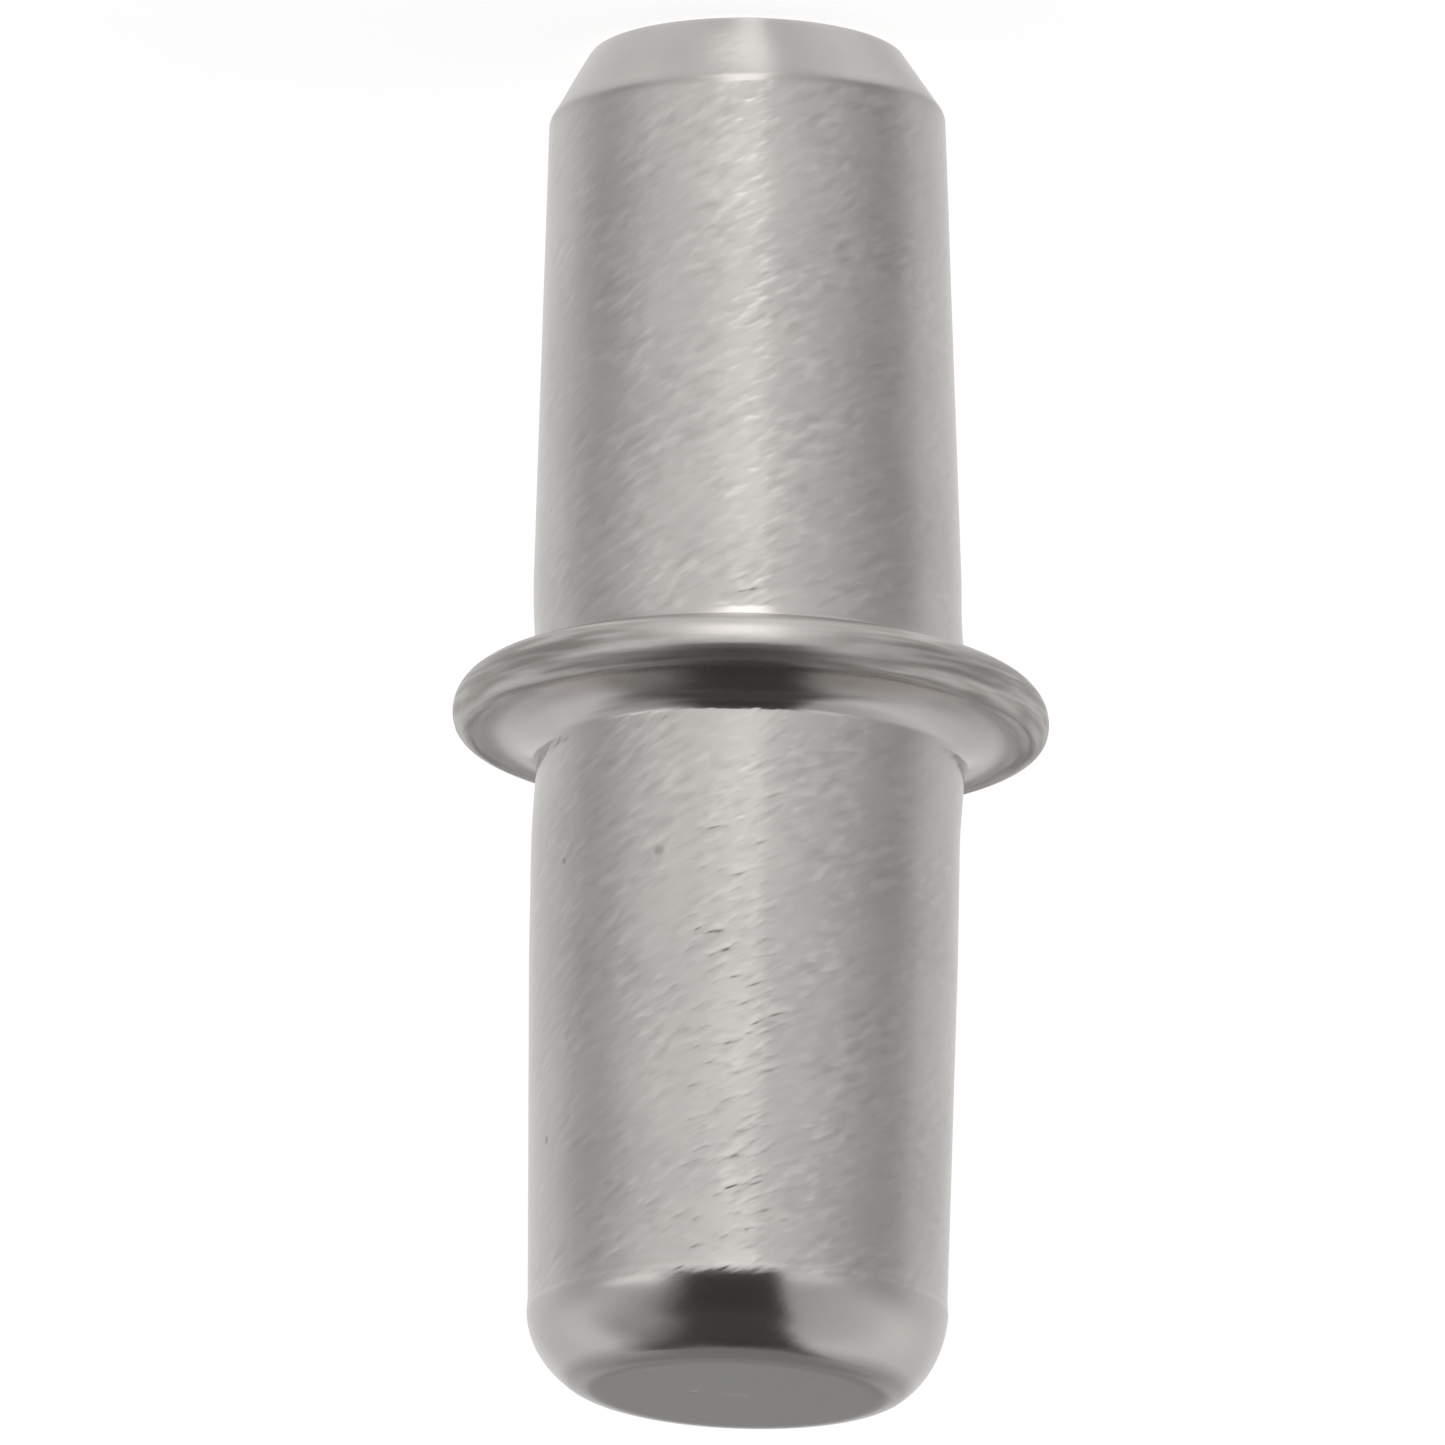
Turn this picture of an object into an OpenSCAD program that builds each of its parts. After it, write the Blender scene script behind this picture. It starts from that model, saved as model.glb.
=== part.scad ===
// Shelf support pin: one turned and headed piece of plated steel.
// The plug on one side of the collar is pushed into a 5 mm hole in a cabinet's side,
// and the shelf rests on the support peg on the collar's other side.
// Millimetres, +Z along the pin, origin at the middle of the plug's flat end.

/* [Plug] */
// Length from the collar's seat to the flat end
plug_len = 7.54; // [5:0.01:12]
// Diameter of the straight land beside the collar
plug_d = 5; // [4.6:0.05:5.4]
// Length of the straight land, measured from the collar's seat
plug_land = 1.2; // [0.8:0.1:3.4]
// Radius of the fillet between the land and the collar's seat
plug_root_r = 0.3; // [0.05:0.01:0.4]
// Diameter where the chamfer begins
plug_tip_d = 4.64; // [4.2:0.02:5.4]
// Height of the chamfer
plug_chamfer_h = 0.75; // [0.3:0.05:1.2]
// Diameter of the flat end
plug_end_d = 3.68; // [3:0.02:4.1]

/* [Collar] */
// Outer diameter
collar_d = 6.95; // [6.5:0.05:9]
// Thickness from the flat seat to the foot of the peg
collar_t = 1.02; // [0.9:0.01:1.6]
// Height of the rim's edge over the flat seat
rim_h = 0.5; // [0.4:0.02:0.6]
// Radius of the rim's edge
rim_edge_r = 0.2; // [0.12:0.01:0.36]
// How far the flat seat stops short of the outer diameter
seat_in = 0.41; // [0.3:0.01:0.6]
// Radius of the shoulder between the seat and the rim's edge
shoulder_r = 0.52; // [0.52:0.02:1]
// Radius of the hollow between the rim's edge and the foot of the peg
hollow_r = 0.85; // [0.6:0.05:2]

/* [Support peg] */
// Length from the top of the collar's hollow to the flat end
peg_len = 7.54; // [5:0.01:12]
// Diameter of the straight land beside the collar
peg_d = 5; // [4.6:0.05:5.4]
// Length of the straight land, measured from the top of the hollow
peg_land = 2.29; // [0.8:0.01:3.4]
// Diameter where the lead-in begins
peg_tip_d = 4.88; // [4.4:0.02:5.4]
// How far the lead-in's edge stands proud of the wall
peg_lip = 0.012; // [0.004:0.002:0.03]
// Height of the crowned lead-in
peg_lead_h = 0.98; // [0.6:0.02:1.4]
// Diameter of the flat end
peg_end_d = 3.6; // [3:0.02:4.2]
// Radius of the crown on the lead-in
peg_crown_r = 1.13; // [1:0.01:4]

/* [Hidden] */
$fn = 128;

plug_r = plug_d / 2;
plug_tip_r = plug_tip_d / 2;
plug_end_r = plug_end_d / 2;
collar_r = collar_d / 2;
seat_r = collar_r - seat_in;
peg_r = peg_d / 2;
peg_tip_r = peg_tip_d / 2;
peg_end_r = peg_end_d / 2;

// The rim's round stands a hair proud of the two arcs that it joins, so that they meet
// along clean edges
hair = 0.0005;
rim_touch_r = rim_edge_r - hair;

// The fillet at the plug's root ends on the flat seat
plug_root = min(plug_root_r, seat_r - plug_r);

// Where a circle about p and a circle about q meet, on the left of the way from p to q
function meeting(p, p_r, q, q_r) =
    let (
        along = q - p,
        gap = norm(along),
        ahead = along / gap,
        left = [-ahead.y, ahead.x],
        reach = (gap * gap + p_r * p_r - q_r * q_r) / (2 * gap)
    )
    p + ahead * reach + left * sqrt(p_r * p_r - reach * reach);

// Half section of the plug, from the collar's seat out to its flat end
module plug_section() {
    polygon([
        [0, 0],
        [plug_r, 0],
        [plug_r, plug_land],
        [plug_tip_r, plug_len - plug_chamfer_h],
        [plug_end_r, plug_len],
        [0, plug_len],
    ]);
}

// Half section of the collar: a flat seat, a rounded shoulder, and a hollow up to the peg.
// The shoulder and the hollow both run smoothly into the small round of the rim's edge.
module collar_section() {
    seat_point = [seat_r, 0];
    foot_point = [peg_r, collar_t];
    foot_top = collar_t + rim_edge_r;
    rim_middle = [collar_r - rim_edge_r, rim_h];
    shoulder_reach = shoulder_r - rim_touch_r;
    hollow_reach = hollow_r + rim_touch_r;
    shoulder_middle = meeting(seat_point, shoulder_r, rim_middle, shoulder_reach);
    hollow_middle = meeting(foot_point, hollow_r, rim_middle, hollow_reach);
    shoulder_top = shoulder_middle
        + (rim_middle - shoulder_middle) * shoulder_r / shoulder_reach;
    hollow_start = rim_middle + (hollow_middle - rim_middle) * rim_touch_r / hollow_reach;

    difference() {
        polygon([
            [0, 0],
            [seat_r - hair, 0],
            shoulder_top,
            hollow_start,
            [peg_r, foot_top],
            [0, foot_top],
        ]);
        translate(hollow_middle)
            circle(r = hollow_r);
    }
    translate(rim_middle)
        circle(r = rim_edge_r);
    intersection() {
        square([collar_r, shoulder_top.y]);
        translate(shoulder_middle)
            circle(r = shoulder_r);
    }
}

// Half section of the fillet that joins the collar's seat to the plug's land
module root_section() {
    translate([plug_r, 0])
        difference() {
            square(plug_root);
            translate([plug_root, plug_root])
                circle(r = plug_root);
        }
}

// Half section of the lead-in: a convex arc from its lip on the wall in to the flat end
module lead_in_section() {
    wall_point = [peg_tip_r + peg_lip, 0];
    end_point = [peg_end_r, peg_lead_h];
    square([peg_end_r, peg_lead_h]);
    intersection() {
        square([peg_r + peg_crown_r, peg_lead_h]);
        translate(meeting(wall_point, peg_crown_r, end_point, peg_crown_r))
            circle(r = peg_crown_r);
    }
}

// Half section of the support peg, from inside the collar out to its flat end
module peg_section() {
    polygon([
        [0, -rim_edge_r],
        [peg_r, -rim_edge_r],
        [peg_r, peg_land],
        [peg_tip_r, peg_len - peg_lead_h],
        [0, peg_len - peg_lead_h],
    ]);
    translate([0, peg_len - peg_lead_h])
        lead_in_section();
}

// The whole pin, turned about its own axis: plug below the collar, support peg above it
module shelf_pin() {
    color([0.69, 0.68, 0.65])
        rotate_extrude()
            translate([0, plug_len]) {
                collar_section();
                mirror([0, 1]) {
                    root_section();
                    plug_section();
                }
                translate([0, collar_t])
                    peg_section();
            }
}

shelf_pin();
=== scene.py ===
"""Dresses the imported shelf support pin: a turned steel pin in tumbled nickel plate.

The pin stands on the flat end of its plug, and +Z runs along it to the support peg.
A node tree turns the visible pin from one half section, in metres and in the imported
model's own frame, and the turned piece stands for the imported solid.
"""
import logging
import math
from dataclasses import dataclass, field
from enum import Enum
from typing import Any, Mapping, Sequence, Union

import bpy
from mathutils import Matrix, Vector


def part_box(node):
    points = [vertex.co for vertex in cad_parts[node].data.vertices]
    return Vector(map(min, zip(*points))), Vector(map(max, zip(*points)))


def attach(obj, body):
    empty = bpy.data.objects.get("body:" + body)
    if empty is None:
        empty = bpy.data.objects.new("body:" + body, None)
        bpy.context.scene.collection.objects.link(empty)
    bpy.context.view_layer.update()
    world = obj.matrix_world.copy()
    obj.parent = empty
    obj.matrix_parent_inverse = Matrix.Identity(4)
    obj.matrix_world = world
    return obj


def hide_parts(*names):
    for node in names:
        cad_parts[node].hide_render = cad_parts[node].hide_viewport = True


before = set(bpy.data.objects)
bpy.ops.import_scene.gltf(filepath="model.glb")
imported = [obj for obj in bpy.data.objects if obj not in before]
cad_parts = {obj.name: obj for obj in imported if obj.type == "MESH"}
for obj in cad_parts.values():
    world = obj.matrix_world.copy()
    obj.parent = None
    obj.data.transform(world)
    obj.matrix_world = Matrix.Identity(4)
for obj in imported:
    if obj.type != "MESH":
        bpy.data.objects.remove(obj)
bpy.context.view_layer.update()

LOG = logging.getLogger("shelf_pin")

MM = 0.001
UM = 0.000001
FULL_TURN = 2.0 * math.pi
DEGREES = 180.0 / math.pi
CIRCLE = 360.0
ARC_STEP = math.radians(5.0)
NOISE_MEAN = 0.5
RAMP_MIDDLE = 0.5
WHITE = (1.0, 1.0, 1.0, 1.0)

NODE_NAME = "shelf_pin"
BODY_NAME = "root"
PIECE_NAME = "shelf_pin_plated"

# The pin's numbers that the lathe takes as named inputs
LATHE_NUMBERS = (
    "weld", "plug_lean", "peg_lean", "collar_off", "collar_cant", "collar_tip", "chamfer_cant",
    "chamfer_skew", "chamfer_wave", "crown_cant", "ripple", "ripple_size", "seed",
)

# Places of the Mix node's sockets for numbers and for colours
MIX_NUMBERS = (2, 3)
MIX_COLOURS = (6, 7)
MIX_COLOUR_OUT = 2

# An arc without its start, and one that also leaves its end to the next corner's round
PAST_START = slice(1, None)
INNER = slice(1, -2)

Pair = tuple[float, float]
Colour = tuple[float, float, float, float]
Value = Union[float, int, bool, str, Sequence[float], "Wire", bpy.types.ID]


class Wire:
    """One output socket, with the arithmetic that joins it to numbers and other wires."""

    def __init__(self, graph: "Graph", socket: bpy.types.NodeSocket | None) -> None:
        """Keeps the tree that the socket is in, and the socket."""
        self.graph = graph
        self.socket = socket

    def of(self, name: str | int) -> "Wire":
        """Gives another output of the same node."""
        return Wire(self.graph, self.socket.node.outputs[name])

    def maths(self, operation: str, *others: Value, first: Value | None = None) -> "Wire":
        """Adds a Math node on this wire.

        Args:
            operation: The Math node's operation.
            others: What follows this wire in the sum.
            first: What stands before this wire, where the order is the other way round.

        Returns:
            The result as a wire.
        """
        terms = [self, *others] if first is None else [first, self, *others]
        return self.graph.node(
            "ShaderNodeMath", {"operation": operation}, dict(enumerate(terms))
        )

    def __add__(self, other: Value) -> "Wire":
        """Sum."""
        return self.maths("ADD", other)

    def __radd__(self, other: Value) -> "Wire":
        """Sum, with the number first."""
        return self.maths("ADD", first=other)

    def __sub__(self, other: Value) -> "Wire":
        """Difference."""
        return self.maths("SUBTRACT", other)

    def __rsub__(self, other: Value) -> "Wire":
        """Difference, with the number first."""
        return self.maths("SUBTRACT", first=other)

    def __mul__(self, other: Value) -> "Wire":
        """Product."""
        return self.maths("MULTIPLY", other)

    def __rmul__(self, other: Value) -> "Wire":
        """Product, with the number first."""
        return self.maths("MULTIPLY", first=other)

    def __truediv__(self, other: Value) -> "Wire":
        """Quotient."""
        return self.maths("DIVIDE", other)

    def __rtruediv__(self, other: Value) -> "Wire":
        """Quotient, with the number first."""
        return self.maths("DIVIDE", first=other)

    def __neg__(self) -> "Wire":
        """The same value with its sign turned."""
        return self.maths("MULTIPLY", -1.0)

    def __abs__(self) -> "Wire":
        """The value without its sign."""
        return self.maths("ABSOLUTE")

    def __gt__(self, other: Value) -> "Wire":
        """One where this wire is the greater, and nought elsewhere."""
        return self.maths("GREATER_THAN", other)

    def at_least(self, other: Value) -> "Wire":
        """The greater of the two."""
        return self.maths("MAXIMUM", other)

    def rise(self, low: float, high: float) -> "Wire":
        """A smooth step from nought at low to one at high."""
        return self.graph.node(
            "ShaderNodeMapRange",
            {"interpolation_type": "SMOOTHSTEP", "clamp": True},
            {"Value": self, "From Min": low, "From Max": high},
        )

    def between(self, levels: Pair) -> "Wire":
        """Runs from the first level at nought to the second at one."""
        return self * (levels[1] - levels[0]) + levels[0]

    def within(self, span: Pair, soft: Pair) -> "Wire":
        """A smooth window.

        Args:
            span: Where the window begins and ends.
            soft: Half the width of its lower and of its upper edge.

        Returns:
            One inside the window and nought outside it.
        """
        opens = self.rise(span[0] - soft[0], span[0] + soft[0])
        return opens * (1.0 - self.rise(span[1] - soft[1], span[1] + soft[1]))


class Graph:
    """A node tree that is written as expressions."""

    def __init__(self, tree: bpy.types.NodeTree) -> None:
        """Takes a tree and empties it."""
        self.tree = tree
        tree.nodes.clear()

    def node(
        self,
        kind: str,
        settings: Mapping[str, Any] | None = None,
        sockets: Mapping[str | int, Value] | None = None,
        out: str | int = 0,
    ) -> Wire:
        """Adds one node, its settings first.

        Args:
            kind: The node's type.
            settings: The node's own properties; "stops" are a ramp's places and levels.
            sockets: Numbers or wires for its inputs, by name or by place.
            out: The output that the result stands for.

        Returns:
            That output as a wire, with no socket where the node has no output.
        """
        made = self.tree.nodes.new(kind)
        for key, setting in (settings or {}).items():
            if key == "stops":
                self._set_stops(made.color_ramp, setting)
            else:
                setattr(made, key, setting)
        for key, value in (sockets or {}).items():
            if isinstance(value, Wire):
                self.tree.links.new(value.socket, made.inputs[key])
            else:
                made.inputs[key].default_value = value
        return Wire(self, made.outputs[out] if made.outputs else None)

    @staticmethod
    def _set_stops(ramp: bpy.types.ColorRamp, stops: Sequence[Pair]) -> None:
        """Gives a ramp grey levels at the named places.

        Args:
            ramp: The ramp of a Color Ramp node.
            stops: Each place from nought to one, with its level.
        """
        ramp.interpolation = "CARDINAL"
        while len(ramp.elements) < len(stops):
            ramp.elements.new(1.0)
        for element, (place, level) in zip(ramp.elements, stops):
            element.position = place
            element.color = (level, level, level, 1.0)

    def vector(self, x: Value, y: Value, z: Value) -> Wire:
        """Joins three values into a vector."""
        return self.node("ShaderNodeCombineXYZ", None, {"X": x, "Y": y, "Z": z})

    def split(self, vector: Wire) -> tuple[Wire, Wire, Wire]:
        """Parts a vector into its three values."""
        parts = self.node("ShaderNodeSeparateXYZ", None, {0: vector})
        return parts, parts.of("Y"), parts.of("Z")

    def vectors(self, operation: str, *terms: Value, scale: Value | None = None) -> Wire:
        """Adds a Vector Math node.

        Args:
            operation: The node's operation.
            terms: Its vectors.
            scale: Its number, where the operation takes one.

        Returns:
            The vector that it gives.
        """
        sockets: dict[str | int, Value] = dict(enumerate(terms))
        if scale is not None:
            sockets["Scale"] = scale
        return self.node("ShaderNodeVectorMath", {"operation": operation}, sockets)

    def blend(self, share: Value, start: Value, end: Value) -> Wire:
        """Mixes two values."""
        sockets = {"Factor": share, MIX_NUMBERS[0]: start, MIX_NUMBERS[1]: end}
        return self.node("ShaderNodeMix", {"data_type": "FLOAT"}, sockets)

    def tint(self, share: Value, start: Value, end: Value) -> Wire:
        """Mixes two colours."""
        sockets = {"Factor": share, MIX_COLOURS[0]: start, MIX_COLOURS[1]: end}
        return self.node("ShaderNodeMix", {"data_type": "RGBA"}, sockets, out=MIX_COLOUR_OUT)

    def noise(self, place: Wire, scale: float, detail: float, rough: float = 0.5) -> Wire:
        """Adds an even noise.

        Args:
            place: Where the noise is read.
            scale: How many of its humps fit in one unit.
            detail: How many finer layers lie on it.
            rough: How strong the finer layers are.

        Returns:
            A value from nought to one, about a half on average.
        """
        sockets = {"Vector": place, "Scale": scale, "Detail": detail, "Roughness": rough}
        return self.node("ShaderNodeTexNoise", {"noise_dimensions": "3D"}, sockets)


class Trace(Enum):
    """What each ring of the turned surface carries for the finish."""

    # Rubbed edges and painted highlights, with painted shade lines below nought
    RUB_AND_PAINTED_LIGHT = "edge_rub_and_painted_light"
    FACE = "flat_face"


@dataclass(frozen=True)
class Corner:
    """One corner of the half section."""

    radius: float  # Distance from the pin's axis
    height: float  # Height over the plug's flat end
    round: float = 0.0  # Radius that the corner is broken to
    rub_and_painted_light: float = 0.0  # How far it is rubbed bright, partly a painted highlight; below nought, a painted dark line of shade

    def place(self) -> Vector:
        """The corner as a point of the half section."""
        return Vector((self.radius, self.height))


@dataclass(frozen=True)
class HalfSection:
    """The pin's half section, from the middle of one end to the middle of the other."""

    corners: tuple[Corner, ...]  # Its corners, in order from the plug's end
    ring_gap: float = 0.075 * MM  # Widest gap between two rings on a straight run
    arc_step: float = math.radians(9.0)  # Widest turn between two rings on a round
    least_steps: int = 2  # Fewest steps on a round
    rub_reach: float = 0.02 * MM  # How far a sharp corner's bright or dark line is seen
    rub_spread: float = 5.0  # A corner's round, divided by how much further its line is seen

    def _broken(self, before: Vector, corner: Corner, after: Vector) -> list[Vector]:
        """Breaks one corner with an arc.

        Args:
            before: The corner before it.
            corner: The corner.
            after: The corner after it.

        Returns:
            The points that take the corner's place.
        """
        here = corner.place()
        back = (before - here).normalized()
        ahead = (after - here).normalized()
        turn = math.pi - back.angle(ahead)
        half = turn / 2.0
        centre = here + (back + ahead).normalized() * (corner.round / math.cos(half))
        arm = here + back * (corner.round * math.tan(half)) - centre
        side = math.copysign(1.0, ahead.x * back.y - ahead.y * back.x)
        steps = max(self.least_steps, math.ceil(turn / self.arc_step))
        return [
            centre + Matrix.Rotation(side * turn * step / steps, 2) @ arm
            for step in range(steps + 1)
        ]

    def _outline(self) -> list[Vector]:
        """Rounds the corners and cuts the straight runs.

        Returns:
            The section's points, in order.
        """
        bare = [corner.place() for corner in self.corners]
        path = [bare[0]]
        for before, corner, after in zip(bare, self.corners[1:-1], bare[2:]):
            path += self._broken(before, corner, after) if corner.round else [corner.place()]
        path.append(bare[-1])
        cut = [path[0]]
        for start, end in zip(path, path[1:]):
            parts = max(1, math.ceil((end - start).length / self.ring_gap))
            cut += [start.lerp(end, part / parts) for part in range(1, parts + 1)]
        return cut

    def _rub_and_painted_light_at(self, point: Vector) -> float:
        """Finds how bright the rubbed edges and their painted highlights, and how dark the painted
        shade lines, are at one point.

        Args:
            point: The point on the section.

        Returns:
            The strongest rub there, with painted shade as a value below nought.
        """
        rubs = [0.0]
        for corner in self.corners:
            reach = self.rub_reach + corner.round / self.rub_spread
            away = (point - corner.place()).length / reach
            rubs.append(corner.rub_and_painted_light * math.exp(-(away**2)))
        return max(rubs, key=abs)

    def mesh(self, name: str) -> bpy.types.Mesh:
        """Makes the row of points that the lathe turns.

        Args:
            name: The mesh's name.

        Returns:
            A mesh of points in the XZ plane, with the values for the finish.
        """
        points = self._outline()
        ends = [points[0], *points, points[-1]]
        runs = [after - before for before, after in zip(ends, ends[2:])]
        made = bpy.data.meshes.new(name)
        made.from_pydata([(point.x, 0.0, point.y) for point in points], [], [])
        carried = {
            Trace.RUB_AND_PAINTED_LIGHT: [self._rub_and_painted_light_at(point) for point in points],
            Trace.FACE: [abs(run.x) / run.length for run in runs],
        }
        for trace, values in carried.items():
            made.attributes.new(trace.value, "FLOAT", "POINT").data.foreach_set("value", values)
        return made


def meeting(p: Vector, p_radius: float, q: Vector, q_radius: float) -> Vector:
    """Finds where two circles meet, on the left of the way from one middle to the other.

    Args:
        p: Middle of the first circle.
        p_radius: Its radius.
        q: Middle of the second circle.
        q_radius: Its radius.

    Returns:
        The point that lies on both.
    """
    ahead = (q - p).normalized()
    left = Vector((-ahead.y, ahead.x))
    gap = (q - p).length
    reach = (gap**2 + p_radius**2 - q_radius**2) / (2.0 * gap)
    return p + ahead * reach + left * math.sqrt(p_radius**2 - reach**2)


def arc(middle: Vector, start: Vector, end: Vector) -> list[Corner]:
    """Cuts an arc into plain corners.

    Args:
        middle: Middle of the arc's circle.
        start: Where the arc starts.
        end: Where it ends.

    Returns:
        The corners, both ends included.
    """
    arm = start - middle
    turn = -arm.angle_signed(end - middle)
    parts = max(1, math.ceil(abs(turn) / ARC_STEP))
    turns = [Matrix.Rotation(turn * part / parts, 2) for part in range(parts + 1)]
    points = [middle + turned @ arm for turned in turns]
    return [Corner(point.x, point.y) for point in points]


@dataclass(frozen=True)
class Plug:
    """The plug that is pushed into the hole in a cabinet's side."""

    length: float = 7.59 * MM  # Length from the flat end to the collar's seat
    radius: float = 2.5 * MM  # Radius of the straight land beside the collar
    land: float = 1.25 * MM  # Length of that land
    root: float = 0.3 * MM  # Radius of the fillet on the collar's seat
    tip_radius: float = 2.32 * MM  # Radius where the chamfer begins
    chamfer: float = 0.75 * MM  # Height of the chamfer
    end_radius: float = 1.84 * MM  # Radius of the flat end
    end_rub: float = 0.6  # How far the flat end's edge is rubbed bright
    break_edge: float = 0.05 * MM  # Radius of the end's edge, and of the turn from land to taper
    chamfer_edge: float = 0.26 * MM  # Radius of the edge between chamfer and wall
    chamfer_shade: float = 0.4  # How far painted shade darkens that edge, as a dark line

    def corners(self) -> list[Corner]:
        """The plug's corners, from the middle of its flat end to its root on the collar."""
        return [
            Corner(0.0, 0.0),
            Corner(self.end_radius, 0.0, self.break_edge, self.end_rub),
            # A painted dark line of shade along the chamfer's edge
            Corner(self.tip_radius, self.chamfer, self.chamfer_edge, -self.chamfer_shade),
            Corner(self.radius, self.length - self.land, self.break_edge),
            Corner(self.radius, self.length, self.root),
        ]


@dataclass(frozen=True)
class Collar:
    """The collar that stops the plug at the hole's mouth: a flat seat and a hollow."""

    radius: float = 3.475 * MM  # Outer radius
    thickness: float = 0.97 * MM  # From the flat seat to where the peg is measured from
    rim_height: float = 0.452 * MM  # Height of the rim's edge over the seat
    rim_edge: float = 0.2 * MM  # Radius of the rim's edge
    seat_inset: float = 0.40 * MM  # How far the flat seat stops short of the outer radius
    shoulder: float = 0.40 * MM  # Radius of the shoulder between seat and rim
    hollow: float = 0.85 * MM  # Radius of the hollow between rim and peg
    hollow_drop: float = 0.08 * MM  # How far the hollow's foot lies below the thickness
    break_edge: float = 0.03 * MM  # Radius of the seat's outer edge

    def corners(self, base: float, foot_radius: float) -> list[Corner]:
        """The collar's corners.

        Args:
            base: Height of the seat on the plug's side.
            foot_radius: Radius of the peg that the hollow runs up to.

        Returns:
            Its corners from the seat's outer edge to the last one below the peg.
        """
        seat = Vector((self.radius - self.seat_inset, base))
        foot = Vector((foot_radius, base + self.thickness - self.hollow_drop))
        rim = Vector((self.radius - self.rim_edge, base + self.rim_height))
        shoulder = meeting(seat, self.shoulder, rim, self.shoulder - self.rim_edge)
        hollow = meeting(foot, self.hollow, rim, self.hollow + self.rim_edge)
        rim_low = rim + (rim - shoulder).normalized() * self.rim_edge
        rim_high = rim + (hollow - rim).normalized() * self.rim_edge
        return [
            Corner(seat.x, seat.y, self.break_edge),
            *arc(shoulder, seat, rim_low)[PAST_START],
            *arc(rim, rim_low, rim_high)[PAST_START],
            *arc(hollow, rim_high, foot)[INNER],
        ]


@dataclass(frozen=True)
class Peg:
    """The support peg that the shelf rests on."""

    length: float = 7.54 * MM  # Length from the collar's thickness to the flat end
    radius: float = 2.5 * MM  # Radius of the straight land beside the collar
    land: float = 2.29 * MM  # Length of that land
    root: float = 0.2 * MM  # Radius of the fillet in the collar's hollow
    tip_radius: float = 2.44 * MM  # Radius of the wall where it rises to the lip
    lip: float = 0.012 * MM  # How far the lip stands proud of that radius
    lip_rise: float = 0.14 * MM  # Length over which the wall rises to the lip
    lip_rub_and_highlight: float = 0.7  # How far the lip is rubbed bright, partly a painted highlight of its bright line
    foot_rub: float = 0.2  # How far the foot of that rise is rubbed bright
    lead_in: float = 0.98 * MM  # Height of the crowned lead-in
    end_radius: float = 1.8 * MM  # Radius of the flat end before its edge is rounded
    crown: float = 1.13 * MM  # Radius of the crown on the lead-in
    break_edge: float = 0.65 * MM  # Radius of the end's edge, and of the turn from land to taper

    def corners(self, base: float, drop: float) -> list[Corner]:
        """The peg's corners.

        Args:
            base: Height that the peg's length is measured from.
            drop: How far below it the hollow's foot lies.

        Returns:
            Its corners from its root to the middle of its flat end.
        """
        top = base + self.length
        start = Vector((self.tip_radius + self.lip, top - self.lead_in))
        end = Vector((self.end_radius, top))
        crown = arc(meeting(start, self.crown, end, self.crown), start, end)
        return [
            Corner(self.radius, base - drop, self.root),
            Corner(self.radius, base + self.land, self.break_edge),
            Corner(self.tip_radius, start.y - self.lip_rise, 0.0, self.foot_rub),
            # The lip rubbed bright, partly a painted highlight
            Corner(start.x, start.y, 0.0, self.lip_rub_and_highlight),
            *crown[INNER],
            Corner(end.x, end.y, self.break_edge),
            Corner(0.0, top),
        ]


@dataclass(frozen=True)
class Ding:
    """One small dark dent in the plated wall."""

    azimuth: float  # Degrees round the pin, nought at the front and rising to +X
    height: float  # Height over the plug's flat end
    size: float  # Radius of the dent

    def middle(self, radius: float) -> tuple[float, float, float]:
        """The dent's middle on a wall of this radius."""
        turn = math.radians(self.azimuth)
        return radius * math.sin(turn), -radius * math.cos(turn), self.height


@dataclass(frozen=True)
class Place:
    """A place on the pin, as the finish reads it."""

    graph: Graph  # The material's tree
    whole: Wire  # The place as a vector
    x: Wire
    y: Wire
    z: Wire
    radius: Wire  # Distance from the pin's axis

    @classmethod
    def read(cls, graph: Graph) -> "Place":
        """Reads the place in the pin's own frame.

        Args:
            graph: The material's tree.

        Returns:
            The place and its parts.
        """
        whole = graph.node("ShaderNodeTexCoord", out="Object")
        x, y, z = graph.split(whole)
        return cls(graph, whole, x, y, z, (x * x + y * y).maths("SQRT"))


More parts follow.
